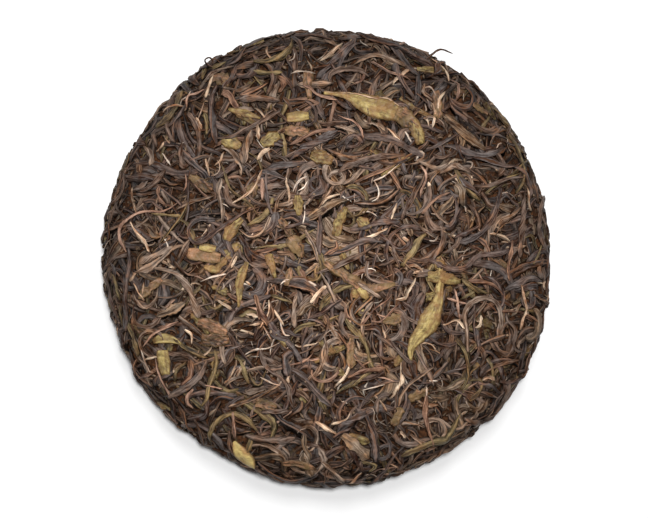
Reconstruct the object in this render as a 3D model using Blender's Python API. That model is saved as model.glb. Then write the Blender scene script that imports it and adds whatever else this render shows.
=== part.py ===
"""A pressed pu erh tea cake: one solid disc of compressed leaf, lying on its back with the domed face up.

Run it with: blender --background --python part.py
Units are metres and +Z is up. The origin is the middle of the footprint, on the surface the cake lies on.
The underside has the hollow that the knot of the pressing cloth leaves, inside a flat ring that it rests on.
"""

import math

import bmesh
import bpy
from mathutils import Vector, noise

MM = 0.001

# Driving dimensions
CAKE_RADIUS = 97.5 * MM
CROWN_HEIGHT = 25.0 * MM  # thickness at the middle of the face
DOME_RISE = 4.0 * MM  # how much higher the middle of the face is than the edge of its dome
EDGE_HEIGHT = 10.0 * MM  # level of the widest point of the rim
FACE_SHOULDER = 11.5 * MM  # width of the rounding from the face to the rim
BACK_SHOULDER = 15.0 * MM  # width of the rounding from the rim to the back
KNOT_RADIUS = 29.0 * MM
KNOT_DEPTH = 9.0 * MM

# Uneven pressing
OUTLINE_LOBES = (  # (lobes round the rim, height of each in metres, direction of the first in degrees)
    (2, 0.6 * MM, 112.0),
    (3, 0.4 * MM, -55.0),
    (5, 0.4 * MM, -27.0),
    (7, 0.3 * MM, 18.0),
)
LUMP_SIZE = 19.0 * MM  # across one broad lump of the face
LUMP_HEIGHT = 0.6 * MM
LEAF_SIZE = 6.5 * MM  # across one ridge of pressed leaf
LEAF_HEIGHT = 0.35 * MM

# Facets
SEGMENTS = 84
FACE_RINGS = 12
SHOULDER_RINGS = 5
BACK_RINGS = 7
KNOT_RINGS = 6

LEAF_COLOUR = (0.060, 0.040, 0.027, 1.0)
LEAF_ROUGHNESS = 0.62

RESTING = 1e-6  # a point no higher than this is part of the flat ring


def clear_scene():
    for item in list(bpy.data.objects):
        bpy.data.objects.remove(item, do_unlink=True)


def shoulder(radius, start):
    """How far a rounded shoulder has turned at this radius, from 0 at its start to 1 at the rim."""
    across = (radius - start) / (CAKE_RADIUS - start)
    across = min(max(across, 0.0), 1.0)
    return 1.0 - math.sqrt(1.0 - across * across)


def face_level(radius):
    """Height of the domed face and of the shoulder that it turns down into."""
    rim_level = CROWN_HEIGHT - DOME_RISE
    dome = rim_level + DOME_RISE * (1.0 - (radius / CAKE_RADIUS) ** 2)
    return dome - (rim_level - EDGE_HEIGHT) * shoulder(radius, CAKE_RADIUS - FACE_SHOULDER)


def back_level(radius):
    """Height of the underside: the knot's hollow, the flat ring and the shoulder up to the rim."""
    if radius < KNOT_RADIUS:
        return KNOT_DEPTH * 0.5 * (1.0 + math.cos(math.pi * radius / KNOT_RADIUS))
    return EDGE_HEIGHT * shoulder(radius, CAKE_RADIUS - BACK_SHOULDER)


def even_radii(start, end, count):
    """Radii from start up to end, without end."""
    return [start + (end - start) * i / count for i in range(count)]


def shoulder_radii(start):
    """Radii over a shoulder, spaced by its angle, without the rim itself."""
    width = CAKE_RADIUS - start
    return [start + width * math.sin(0.5 * math.pi * i / SHOULDER_RINGS) for i in range(SHOULDER_RINGS)]


def half_section():
    """The outline of half the cake in the XZ plane, from the middle of the back, round the rim, to the crown."""
    flat_edge = CAKE_RADIUS - BACK_SHOULDER
    face_edge = CAKE_RADIUS - FACE_SHOULDER
    back = even_radii(0.0, KNOT_RADIUS, KNOT_RINGS) + even_radii(KNOT_RADIUS, flat_edge, BACK_RINGS)
    back += shoulder_radii(flat_edge)
    face = even_radii(0.0, face_edge, FACE_RINGS) + shoulder_radii(face_edge)
    points = [(radius, back_level(radius)) for radius in back]
    points.append((CAKE_RADIUS, EDGE_HEIGHT))
    points += [(radius, face_level(radius)) for radius in reversed(face)]
    return points


def spun_disc(section):
    """The half section turned once about +Z."""
    mesh = bmesh.new()
    ring = [mesh.verts.new((radius, 0.0, level)) for radius, level in section]
    edges = [mesh.edges.new(pair) for pair in zip(ring, ring[1:])]
    bmesh.ops.spin(
        mesh,
        geom=ring + edges,
        cent=(0.0, 0.0, 0.0),
        axis=(0.0, 0.0, 1.0),
        angle=2.0 * math.pi,
        steps=SEGMENTS,
        use_merge=True,
    )
    bmesh.ops.remove_doubles(mesh, verts=mesh.verts, dist=0.01 * MM)
    bmesh.ops.recalc_face_normals(mesh, faces=mesh.faces)
    return mesh


def outline_swell(point):
    """How far the lobed outline moves a point outwards, growing from the middle to the rim."""
    direction = math.atan2(point.y, point.x)
    lobes = sum(
        height * math.cos(count * (direction - math.radians(first)))
        for count, height, first in OUTLINE_LOBES
    )
    return lobes * (math.hypot(point.x, point.y) / CAKE_RADIUS) ** 2


def leaf_relief(point):
    """Height of the pressed leaf at a point: broad lumps with finer ridges over them."""
    return LUMP_HEIGHT * noise.noise(point / LUMP_SIZE) + LEAF_HEIGHT * noise.noise(point / LEAF_SIZE)


def press_unevenly(mesh):
    """Gives the turned disc its lobed outline and uneven leaf, and leaves the resting ring flat."""
    mesh.normal_update()
    moves = []
    for vertex in mesh.verts:
        outward = Vector((vertex.co.x, vertex.co.y, 0.0))
        if outward.length > 0.0:
            outward.normalize()
        move = outward * outline_swell(vertex.co)
        if vertex.co.z > RESTING:
            move += vertex.normal * leaf_relief(vertex.co)
        moves.append(move)
    for vertex, move in zip(mesh.verts, moves):
        vertex.co += move
        vertex.co.z = max(vertex.co.z, 0.0)


def centre_footprint(mesh):
    """Puts the middle of the outline's box over the origin."""
    across = [vertex.co.x for vertex in mesh.verts]
    along = [vertex.co.y for vertex in mesh.verts]
    middle = Vector(((min(across) + max(across)) / 2.0, (min(along) + max(along)) / 2.0, 0.0))
    bmesh.ops.translate(mesh, verts=mesh.verts, vec=-middle)


def leaf_material():
    material = bpy.data.materials.new("dark_leaf")
    material.use_nodes = True
    shader = material.node_tree.nodes["Principled BSDF"]
    shader.inputs["Base Color"].default_value = LEAF_COLOUR
    shader.inputs["Roughness"].default_value = LEAF_ROUGHNESS
    shader.inputs["Metallic"].default_value = 0.0
    return material


def build_tea_cake():
    mesh = spun_disc(half_section())
    press_unevenly(mesh)
    centre_footprint(mesh)
    bmesh.ops.recalc_face_normals(mesh, faces=mesh.faces)
    data = bpy.data.meshes.new("tea_cake")
    mesh.to_mesh(data)
    mesh.free()
    data.materials.append(leaf_material())
    data.shade_smooth()
    cake = bpy.data.objects.new("tea_cake", data)
    bpy.context.scene.collection.objects.link(cake)
    return cake


clear_scene()
build_tea_cake()
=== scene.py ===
"""A pressed tea cake: twisted leaves, buds, stalks and open leaves laid over a dark core and pressed into a disc.

Every leaf is laid in a flat bed, one for the face and one for the back, where it rests on the leaves already there.
The beds are then pressed level and wrapped over the cake's own section, so that leaves turn round its rim.
"""

import math

import bpy
import numpy as np
from bpy.props import FloatProperty, FloatVectorProperty, IntProperty, PointerProperty
from mathutils import Matrix, Vector


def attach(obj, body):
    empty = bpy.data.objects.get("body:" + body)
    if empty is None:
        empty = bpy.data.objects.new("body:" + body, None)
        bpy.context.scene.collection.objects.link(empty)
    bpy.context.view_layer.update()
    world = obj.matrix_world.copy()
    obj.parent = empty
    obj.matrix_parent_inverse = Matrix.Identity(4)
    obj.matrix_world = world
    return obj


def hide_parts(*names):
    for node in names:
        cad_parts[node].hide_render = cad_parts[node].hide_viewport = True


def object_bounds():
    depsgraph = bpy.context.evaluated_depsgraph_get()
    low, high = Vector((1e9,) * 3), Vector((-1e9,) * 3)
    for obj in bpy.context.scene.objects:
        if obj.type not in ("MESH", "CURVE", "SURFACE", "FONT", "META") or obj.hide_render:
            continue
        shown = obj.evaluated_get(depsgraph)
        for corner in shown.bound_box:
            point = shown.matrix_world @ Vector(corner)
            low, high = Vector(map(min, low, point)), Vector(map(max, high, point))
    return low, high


bl_info = {
    "name": "Pressed Tea Cake",
    "version": (1, 0, 0),
    "blender": (4, 5, 0),
    "location": "View3D > Sidebar > Tea Cake",
    "description": "Lays tea leaves over a core and presses them into a round cake",
    "category": "Add Mesh",
}

MM = 0.001
BODY = "root"
SOLID = "tea_cake"

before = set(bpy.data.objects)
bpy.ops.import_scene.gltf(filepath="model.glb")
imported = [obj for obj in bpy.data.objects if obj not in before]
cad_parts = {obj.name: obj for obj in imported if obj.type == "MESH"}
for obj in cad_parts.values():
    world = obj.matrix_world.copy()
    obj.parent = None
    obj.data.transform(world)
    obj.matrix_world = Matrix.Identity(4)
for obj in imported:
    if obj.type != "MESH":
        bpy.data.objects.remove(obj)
CAD_LOW, CAD_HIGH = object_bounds()
CAKE_RADIUS = (CAD_HIGH.x - CAD_LOW.x + CAD_HIGH.y - CAD_LOW.y) / 4.0
CROWN_HEIGHT = CAD_HIGH.z

FACE, BACK = 0, 1
FULL_TURN = 2.0 * math.pi
CELL = 0.5 * MM  # of the grid that holds the height of the bed
BED_REACH = 128.0 * MM
RINGS_BY_LENGTH = (  # cross-sections along leaves up to each length
    (3.5 * MM, 3),
    (11.0 * MM, 7),
    (19.0 * MM, 11),
    (28.0 * MM, 15),
    (1.0, 21),
)


# --- Settings -----------------------------------------------------------------------------------------------------


def length(name, default, description):
    return FloatProperty(name=name, description=description, default=default, min=0.0, precision=4, unit="LENGTH")


def share(name, default, description):
    return FloatProperty(name=name, description=description, default=default, min=0.0, max=1.0, subtype="FACTOR")


def count(name, default, description):
    return IntProperty(name=name, description=description, default=default, min=0)


def amount(name, default, description):
    return FloatProperty(name=name, description=description, default=default, min=0.0)


def colour(name, default, description):
    return FloatVectorProperty(
        name=name, description=description, default=default, size=3, min=0.0, max=1.0, subtype="COLOR"
    )


class TEACAKE_PG_shape(bpy.types.PropertyGroup):
    """The cake's section and how deep the leaves lie on its core."""

    radius: length("Radius", CAKE_RADIUS, "Middle of the round edge")
    crown: length("Crown height", CROWN_HEIGHT, "Thickness in the middle of the face")
    dome_rise: length("Dome rise", 4.0 * MM, "How much higher the crown is than the edge of the face")
    edge_height: length("Edge height", 10.0 * MM, "Level of the widest point of the rim")
    face_shoulder: length("Face shoulder", 11.5 * MM, "Width of the rounding from the face to the rim")
    back_shoulder: length("Back shoulder", 15.0 * MM, "Width of the rounding from the rim to the back")
    knot_radius: length("Knot radius", 29.0 * MM, "Radius of the hollow left by the knot of the cloth")
    knot_depth: length("Knot depth", 9.0 * MM, "Depth of the hollow left by the knot of the cloth")
    bed_depth: length("Bed depth", 2.6 * MM, "Depth of separate leaves over the core")
    core_relief: length("Core relief", 0.7 * MM, "How uneven the packed leaf under the separate leaves is")
    press_middle: length("Press in the middle", 0.42 * MM, "How softly the press stops the leaves near the crown")
    press_edge: length("Press at the edge", 0.90 * MM, "How softly the press stops the leaves near the rim")
    rim_loose: share("Loose rim", 0.80, "Share of its height that a leaf keeps where it stands out of the rim")
    seed: count("Seed", 29, "Starts the random draws")


def leaf_kind(
    label, note, number, late, lengths, widths, flatness, bend, curled, twist, pleats, ridges,
    dark, light, accent, roughness, sheen, fade=0.12,
):
    """The settings of one kind of leaf, as a PropertyGroup with its own defaults."""
    fields = {
        "number": count("Number", number, f"How many {note} are laid on the whole cake"),
        "late": amount("Late", late, "How much more of them lie on top than underneath"),
        "shortest": length("Shortest", lengths[0], f"Length of the shortest of the {note}"),
        "longest": length("Longest", lengths[1], f"Length of the longest of the {note}"),
        "narrowest": length("Narrowest", widths[0], f"Width of the narrowest of the {note}"),
        "widest": length("Widest", widths[1], f"Width of the widest of the {note}"),
        "flatness": share("Flatness", flatness, "Thickness as a share of the width"),
        "bend": amount("Bend", bend, "Usual curvature, one over its radius in metres"),
        "curled": share("Curled", curled, "Share of them that is tightly curled"),
        "twist": amount("Twist", twist, "How far a leaf is twisted along its length, in radians a metre"),
        "pleats": count("Pleats", pleats, "Folds round a leaf's section"),
        "ridges": share("Ridges", ridges, "Depth of the folds, as a share of the section's size"),
        "dark": colour("Dark", dark, f"Colour of the darkest {note}"),
        "light": colour("Light", light, f"Colour of the lightest {note}"),
        "accent": colour("Accent", accent, f"Colour of the patches on the {note}"),
        "roughness": share("Roughness", roughness, "How matt the surface is"),
        "sheen": share("Sheen", sheen, "How strongly the surface reflects"),
        "fade": share("Fade", fade, "How much lighter one end of a leaf is than its middle"),
    }
    return type(f"TEACAKE_PG_{label}", (bpy.types.PropertyGroup,), {"__annotations__": fields, "__doc__": note})


KINDS = {
    "charcoal_leaves": leaf_kind(
        "charcoal_leaves", "charcoal twisted leaves", 760, 0.0, (11 * MM, 34 * MM), (1.8 * MM, 3.9 * MM),
        0.50, 26.0, 0.22, 90.0, 3, 0.40,
        (0.025, 0.008, 0.004), (0.166, 0.141, 0.131), (0.280, 0.112, 0.042), 0.50, 0.10,
    ),
    "dark_leaves": leaf_kind(
        "dark_leaves", "dark brown twisted leaves", 840, 0.0, (10 * MM, 32 * MM), (1.7 * MM, 3.7 * MM),
        0.50, 28.0, 0.24, 95.0, 3, 0.42,
        (0.032, 0.011, 0.004), (0.232, 0.177, 0.146), (0.335, 0.142, 0.054), 0.54, 0.10,
    ),
    "umber_leaves": leaf_kind(
        "umber_leaves", "brown twisted leaves", 560, 0.0, (9 * MM, 30 * MM), (1.6 * MM, 3.5 * MM),
        0.50, 28.0, 0.24, 95.0, 3, 0.42,
        (0.046, 0.016, 0.006), (0.392, 0.296, 0.230), (0.435, 0.200, 0.078), 0.56, 0.10,
    ),
    "chestnut_leaves": leaf_kind(
        "chestnut_leaves", "red-brown twisted leaves", 200, 0.1, (9 * MM, 28 * MM), (1.4 * MM, 3.0 * MM),
        0.50, 28.0, 0.20, 90.0, 3, 0.42,
        (0.050, 0.015, 0.007), (0.360, 0.216, 0.150), (0.420, 0.188, 0.080), 0.54, 0.12,
    ),
    "olive_strands": leaf_kind(
        "olive_strands", "olive twisted leaves", 230, 0.3, (10 * MM, 30 * MM), (1.6 * MM, 3.6 * MM),
        0.42, 24.0, 0.16, 80.0, 3, 0.42,
        (0.030, 0.016, 0.006), (0.320, 0.232, 0.104), (0.290, 0.130, 0.044), 0.56, 0.26,
    ),
    "broad_leaves": leaf_kind(
        "broad_leaves", "broad dark leaves", 190, 0.0, (12 * MM, 34 * MM), (3.4 * MM, 6.0 * MM),
        0.26, 15.0, 0.06, 35.0, 4, 0.56,
        (0.024, 0.008, 0.004), (0.166, 0.141, 0.131), (0.270, 0.112, 0.042), 0.50, 0.10,
    ),
    "brown_blades": leaf_kind(
        "brown_blades", "broad brown leaves", 170, 0.3, (8 * MM, 24 * MM), (3.0 * MM, 5.6 * MM),
        0.24, 15.0, 0.06, 35.0, 4, 0.56,
        (0.044, 0.017, 0.006), (0.338, 0.252, 0.182), (0.395, 0.185, 0.066), 0.56, 0.10,
    ),
    "golden_buds": leaf_kind(
        "golden_buds", "golden buds", 280, 0.8, (5 * MM, 15 * MM), (1.0 * MM, 2.2 * MM),
        0.62, 42.0, 0.30, 80.0, 2, 0.34,
        (0.200, 0.085, 0.036), (0.940, 0.735, 0.525), (0.640, 0.260, 0.110), 0.66, 0.28, 0.42,
    ),
    "stalks": leaf_kind(
        "stalks", "stalks", 150, 0.6, (8 * MM, 24 * MM), (0.9 * MM, 1.7 * MM),
        0.80, 14.0, 0.05, 20.0, 2, 0.26,
        (0.090, 0.034, 0.018), (0.600, 0.365, 0.255), (0.380, 0.160, 0.075), 0.50, 0.32, 0.30,
    ),
    "pale_wisps": leaf_kind(
        "pale_wisps", "pale wisps", 800, 1.0, (2.5 * MM, 11 * MM), (0.4 * MM, 1.1 * MM),
        0.60, 85.0, 0.42, 60.0, 2, 0.28,
        (0.300, 0.150, 0.080), (0.980, 0.870, 0.730), (0.720, 0.330, 0.160), 0.66, 0.28, 0.45,
    ),
    "crumbs": leaf_kind(
        "crumbs", "crumbs", 5200, 0.7, (1.0 * MM, 3.6 * MM), (0.6 * MM, 1.8 * MM),
        0.60, 0.0, 0.0, 0.0, 2, 0.36,
        (0.024, 0.011, 0.005), (0.420, 0.295, 0.200), (0.400, 0.200, 0.085), 0.62, 0.10, 0.30,
    ),
}


def open_leaf_kind(label, note, number, late, lengths, widths, dark, light, accent, roughness, sheen):
    """The settings of one kind of open leaf, as a PropertyGroup with its own defaults."""
    fields = {
        "number": count("Number", number, f"How many {note} are laid on the whole cake"),
        "late": amount("Late", late, "How much more of them lie on top than underneath"),
        "shortest": length("Shortest", lengths[0], f"Length of the shortest of the {note}"),
        "longest": length("Longest", lengths[1], f"Length of the longest of the {note}"),
        "narrowest": length("Narrowest", widths[0], f"Width of the narrowest of the {note}"),
        "widest": length("Widest", widths[1], f"Width of the widest of the {note}"),
        "thickness": length("Thickness", 0.35 * MM, "From one side of the leaf to the other"),
        "crumple": length("Crumple", 0.20 * MM, "Height of the leaf's dents"),
        "pleat": length("Pleat", 0.34 * MM, "Height of the creases along the leaf"),
        "torn": share("Torn", 0.13, "How ragged the leaf's edges are, as a share of its width"),
        "dark": colour("Dark", dark, f"Colour of the darkest {note}"),
        "light": colour("Light", light, f"Colour of the lightest {note}"),
        "accent": colour("Accent", accent, f"Colour of the patches on the {note}"),
        "roughness": share("Roughness", roughness, "How matt the surface is"),
        "sheen": share("Sheen", sheen, "How strongly the surface reflects"),
    }
    return type(f"TEACAKE_PG_{label}", (bpy.types.PropertyGroup,), {"__annotations__": fields, "__doc__": note})


OPEN_KINDS = {
    "olive_blades": open_leaf_kind(
        "olive_blades", "open olive leaves", 110, 0.0, (6 * MM, 18 * MM), (2.4 * MM, 5.0 * MM),
        (0.070, 0.040, 0.015), (0.450, 0.335, 0.125), (0.270, 0.135, 0.052), 0.54, 0.22,
    ),
    "russet_blades": open_leaf_kind(
        "russet_blades", "open brown leaves", 90, 0.0, (6 * MM, 18 * MM), (2.4 * MM, 4.8 * MM),
        (0.044, 0.022, 0.012), (0.500, 0.250, 0.135), (0.220, 0.140, 0.060), 0.52, 0.22,
    ),
}


class TEACAKE_PG_settings(bpy.types.PropertyGroup):
    """All that shapes and colours the tea cake."""

    shape: PointerProperty(type=TEACAKE_PG_shape)
    # the core is packed leaf, kept near black so that it paints the shade in the gaps where it shows between the
    # leaves
    core_colour: colour("Core", (0.025, 0.010, 0.004), "Colour of the packed leaf under the separate leaves")
    floor_colour: colour("Floor", (0.85, 0.85, 0.85), "Colour of the floor")
    key_power: FloatProperty(name="Key light", description="Power of the large soft light", default=37.0, unit="POWER")
    fill: amount("Fill", 0.08, "Strength of the light from all round")
    camera_distance: length("Camera distance", 0.689, "From the camera to the middle of the cake")


for kind_name, kind_class in {**KINDS, **OPEN_KINDS}.items():
    TEACAKE_PG_settings.__annotations__[kind_name] = PointerProperty(type=kind_class)


# --- Shape of the cake --------------------------------------------------------------------------------------------


OUTLINE_LOBES = (  # (lobes round the rim, height of each, direction of the first in degrees)
    (2, 0.6 * MM, 112.0),
    (3, 0.4 * MM, -55.0),
    (5, 0.4 * MM, -27.0),
    (7, 0.3 * MM, 18.0),
)
SECTION_STEPS = 400


class Section:
    """The cake's half section as one line, measured along it from the crown, round the rim, to the back's middle."""

    def __init__(self, shape):
        rim_level = shape.crown - shape.dome_rise
        turn = np.linspace(0.0, 1.0, SECTION_STEPS)
        face_edge = shape.radius - shape.face_shoulder
        back_edge = shape.radius - shape.back_shoulder

        def radii(edge):
            """Radii from the middle to the rim, crowded together where the shoulder turns."""
            return np.concatenate([turn[:-1] * edge, edge + (shape.radius - edge) * np.sin(0.5 * math.pi * turn)])

        def turned(radius, edge):
            across = np.clip((radius - edge) / (shape.radius - edge), 0.0, 1.0)
            return 1.0 - np.sqrt(1.0 - across * across)

        face = radii(face_edge)
        dome = rim_level + shape.dome_rise * (1.0 - (face / shape.radius) ** 2)
        face_level = dome - (rim_level - shape.edge_height) * turned(face, face_edge)
        back = radii(back_edge)[-2::-1]
        hollow = 0.5 * shape.knot_depth * (1.0 + np.cos(math.pi * np.minimum(back / shape.knot_radius, 1.0)))
        back_level = hollow + shape.edge_height * turned(back, back_edge)

        self.radius = np.concatenate([face, back])
        self.level = np.concatenate([face_level, back_level])
        steps = np.hypot(np.diff(self.radius), np.diff(self.level))
        self.travel = np.concatenate([[0.0], np.cumsum(steps)])
        self.total = self.travel[-1]
        self.rim = self.travel[len(face) - 1]
        self.out = -np.gradient(self.level, self.travel)
        self.up = np.gradient(self.radius, self.travel)

    def at(self, travel):
        """Radius, level and outward direction at a distance along the section."""
        parts = (self.radius, self.level, self.out, self.up)
        return [np.interp(travel, self.travel, part) for part in parts]

    def height(self, radius):
        """Level of the face at a radius."""
        on_face = self.travel <= self.rim
        return np.interp(radius, self.radius[on_face], self.level[on_face])

    def reach(self, radius):
        """Distance along the face at a radius."""
        on_face = self.travel <= self.rim
        return np.interp(radius, self.radius[on_face], self.travel[on_face])


CLEAR_OF_TABLE = 0.03 * MM


def wrap(section, shape, side, points):
    """Points of a flat bed, given as two places and a lift off the cake's surface, moved onto the cake."""
    reach = np.hypot(points[..., 0], points[..., 1])
    direction = np.arctan2(points[..., 1], points[..., 0])
    if side == BACK:
        direction = -direction
    travel = reach if side == FACE else section.total - reach
    radius, level, out, up = section.at(travel)
    lobes = sum(tall * np.cos(n * (direction - math.radians(first))) for n, tall, first in OUTLINE_LOBES)
    radius = radius + out * points[..., 2] + lobes * (radius / shape.radius) ** 2
    level = np.maximum(level + up * points[..., 2], CLEAR_OF_TABLE)
    return np.stack([radius * np.cos(direction), radius * np.sin(direction), level], axis=-1)


# --- Laying the leaves --------------------------------------------------------------------------------------------


ACROSS = np.linspace(-1.0, 1.0, 5)  # places across a leaf where the bed under it is felt
STAMP_ACROSS = np.array([-1.0, 1.0, -0.7, 0.7, -0.35, 0.35, 0.0])  # where it raises the bed, its ridge last
STAMP_STEP = 0.7 * MM
OVERLAP_FROM = 80.0 * MM  # leaves past this reach also raise the other side's bed
TRIES = 5  # places tried for each leaf, of which the lowest is taken


def upsampling(rings, fine_rings):
    """The matrix that puts more places between the cross-sections of a leaf."""
    fine = np.linspace(0.0, rings - 1.0, fine_rings)
    return np.maximum(0.0, 1.0 - np.abs(fine[:, None] - np.arange(rings)[None, :]))


def eased(values, times):
    """A leaf's heights along its length, smoothed as its stiffness does."""
    for _ in range(times):
        padded = np.concatenate([values[:1], values, values[-1:]])
        values = 0.25 * padded[:-2] + 0.5 * padded[1:-1] + 0.25 * padded[2:]
    return values


def across_of(path):
    """Unit directions across a path or an array of paths."""
    along = np.gradient(path, axis=-2)
    along /= np.linalg.norm(along, axis=-1, keepdims=True) + 1e-12
    return np.stack([-along[..., 1], along[..., 0]], axis=-1)


class Waves:
    """A smooth field of random waves over the bed, of about unit height."""

    def __init__(self, rng, shortest, longest, number):
        turn = rng.uniform(0.0, FULL_TURN, number)
        size = rng.uniform(shortest, longest, number)
        self.waves = np.stack([np.cos(turn), np.sin(turn)]) * (FULL_TURN / size)
        self.phase = rng.uniform(0.0, FULL_TURN, number)
        self.strength = math.sqrt(2.0 / number)

    def at(self, spots):
        return np.sin(spots @ self.waves + self.phase).sum(-1) * self.strength


class Bed:
    """The height of the leaf laid so far over both sides, as two flat square grids."""

    def __init__(self, section):
        self.cells = int(2.0 * BED_REACH / CELL) + 1
        self.height = np.zeros((2, self.cells, self.cells))
        self.guarded = np.zeros((self.cells, self.cells))
        self.level = None
        self.section = section

    def index(self, spots):
        cells = ((spots + BED_REACH) / CELL + 0.5).astype(np.int64)
        return np.clip(cells, 0, self.cells - 1)

    def look(self, side, spots):
        cells = self.index(spots)
        return self.height[side][cells[..., 0], cells[..., 1]]

    def guard(self, spots, how_much):
        """Keeps later leaves off places on the face, wholly (1.0) or a little (towards 0.0)."""
        cells = self.index(spots)
        self.guarded[cells[..., 0], cells[..., 1]] = how_much

    def cost(self, side, path):
        """How high, or how unwanted, a leaf would lie along a path."""
        cost = self.look(side, path).mean()
        if side == FACE:
            cells = self.index(path)
            cost += 6.0 * MM * self.guarded[cells[..., 0], cells[..., 1]].mean()
        return cost

    def raise_to(self, side, spots, tops):
        cells = self.index(spots)
        grid = self.height[side]
        grid[cells[..., 0], cells[..., 1]] = np.maximum(grid[cells[..., 0], cells[..., 1]], tops)

    def stamp(self, side, spots, tops):
        """Raises the bed to a leaf's upper side, on both grids where it lies near the rim."""
        self.raise_to(side, spots, tops)
        reach = np.hypot(spots[..., 0], spots[..., 1])
        if reach.max() > OVERLAP_FROM:
            near = reach > OVERLAP_FROM
            there = spots[near] * ((self.section.total - reach[near]) / reach[near])[:, None]
            self.raise_to(1 - side, there * [1.0, -1.0], tops[near])

    def settle_level(self, blur):
        """Works out the smooth level of the finished bed, which the press brings to the cake's surface."""
        frequency = np.fft.fftfreq(self.cells, CELL)
        soft = np.exp(-2.0 * (math.pi * blur * frequency) ** 2)
        window = soft[:, None] * soft[None, :]
        self.level = np.real(np.fft.ifft2(np.fft.fft2(self.height) * window))

    def level_at(self, side, spots):
        place = np.clip((spots + BED_REACH) / CELL, 0, self.cells - 1.001)
        low = place.astype(np.int64)
        part = place - low
        grid = self.level[side]
        x, y = low[..., 0], low[..., 1]
        near = grid[x, y] * (1 - part[..., 0]) + grid[x + 1, y] * part[..., 0]
        far = grid[x, y + 1] * (1 - part[..., 0]) + grid[x + 1, y + 1] * part[..., 0]
        return near * (1 - part[..., 1]) + far * part[..., 1]


class Leaves:
    """A batch of leaves of one kind and one number of cross-sections, before and after they are laid."""

    def __init__(self, kind, lengths, rings, rng):
        number = len(lengths)
        self.kind = kind
        self.rings = rings
        self.length = lengths
        at = np.linspace(-0.5, 0.5, rings)[None, :]

        def draw(low, high):
            return rng.uniform(low, high, (number, 1))

        def spread(size, columns=1):
            return rng.normal(0.0, size, (number, columns))

        along = at * self.length[:, None]
        curvature = spread(kind.bend)
        arched = draw(0.0, 1.0) < 2.0 * kind.curled
        curvature = np.where(arched, draw(1.0, 3.2) * kind.bend * np.sign(curvature), curvature)
        tight = draw(0.0, 1.0) < kind.curled
        curvature = np.where(tight, draw(85.0, 200.0) * np.sign(curvature), curvature)
        wander = spread(0.22) * np.sin(FULL_TURN * (draw(0.5, 1.4) * at + draw(0.0, 1.0)))
        kink = spread(0.45) * (draw(0.0, 1.0) < 0.45) * np.tanh((at - draw(-0.35, 0.35)) * 9.0)
        heading = curvature * along + wander + kink + spread(0.05, rings)
        path = np.stack([np.cumsum(np.cos(heading), axis=1), np.cumsum(np.sin(heading), axis=1)], axis=-1)
        path *= (self.length / (rings - 1))[:, None, None]
        self.path = path - path.mean(axis=1, keepdims=True)

        self.turn = draw(0.0, FULL_TURN) + spread(kind.twist) * along + spread(0.3) * np.sin(
            FULL_TURN * (draw(0.5, 1.5) * at + draw(0.0, 1.0))
        )
        width = kind.narrowest + (kind.widest - kind.narrowest) * rng.random((number, 1)) ** 1.3
        swell = 0.84 + 0.16 * np.sin(FULL_TURN * (draw(0.5, 2.2) * at + draw(0.0, 1.0)))
        swell *= 1.0 + 0.14 * np.cos(2.0 * self.turn)
        middle = draw(-0.30, 0.30)
        reach = np.where(at > middle, 0.5 - middle, 0.5 + middle)
        taper = np.clip(1.0 - (np.abs(at - middle) / reach) ** draw(1.8, 5.0), 0.0, 1.0)
        tip = np.where(at > middle, draw(0.08, 0.60), draw(0.08, 0.60))
        taper = tip + (1.0 - tip) * taper
        self.half_width = 0.5 * width * swell * taper * (1.0 + spread(0.08, rings))
        flat = kind.flatness * draw(0.8, 1.25)
        self.half_height = 0.5 * width * flat * (0.4 + 0.6 * taper) * (1.0 + spread(0.09, rings))
        self.grain_radius = 0.5 * width[:, 0]
        self.grain_start = rng.uniform(0.0, 10.0, number)
        self.tone = rng.random(number)
        self.crease = rng.uniform(0.15, 1.35, number)
        self.ridges = kind.ridges * self.crease
        self.crinkle = rng.normal(0.0, 0.10, (number, rings, 3 * kind.pleats))
        self.side = (rng.random(number) < 0.5).astype(int)
        self.lift = np.zeros((number, rings))
        self.raised = np.zeros(number)
        self.shown = np.ones(number)

    def turned(self, one, spot, heading):
        """The path of one leaf moved to a spot and turned to a heading."""
        cos, sin = math.cos(heading), math.sin(heading)
        return self.path[one] @ np.array([[cos, sin], [-sin, cos]]) + spot

    def lay(self, bed, one, path):
        """Rests one leaf on the bed along a path."""
        across = across_of(path)
        spots = path[:, None, :] + across[:, None, :] * (self.half_width[one][:, None] * ACROSS)[..., None]
        under = bed.look(self.side[one], spots)
        rest = eased(0.55 * under.max(axis=1) + 0.45 * under.mean(axis=1), 2)
        self.path[one] = path
        self.lift[one] = rest + 0.7 * self.half_height[one]
        bed.stamp(self.side[one], *self.dense(one))

    def dense(self, one):
        """Many places on one leaf's upper side and their heights."""
        fine_rings = max(self.rings, int(self.length[one] / STAMP_STEP))
        more = upsampling(self.rings, fine_rings)
        path = more @ self.path[one]
        across = more @ across_of(self.path[one])
        half_width = more @ self.half_width[one]
        spots = path[:, None, :] + across[:, None, :] * (half_width[:, None] * STAMP_ACROSS)[..., None]
        round_top = np.sqrt(np.maximum(0.0, 1.0 - STAMP_ACROSS**2))
        tops = (more @ self.lift[one])[:, None] + (more @ self.half_height[one])[:, None] * round_top
        return spots, tops

    def see(self, bed, shape, slack):
        """Finds the share of each laid leaf that nothing else covers."""
        for one in range(len(self.tone)):
            self.shown[one] = share_shown(bed, shape, self.side[one], *self.dense(one), slack)

    def picked(self, wanted, step=1):
        """The wanted leaves as a batch of their own, with every cross-section or every second one."""
        other = object.__new__(Leaves)
        number = len(self.tone)
        for name, value in vars(self).items():
            if isinstance(value, np.ndarray) and len(value) == number:
                value = value[wanted]
                if value.ndim > 1:
                    value = value[:, ::step]
            setattr(other, name, value)
        other.rings = other.path.shape[1]
        return other


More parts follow.
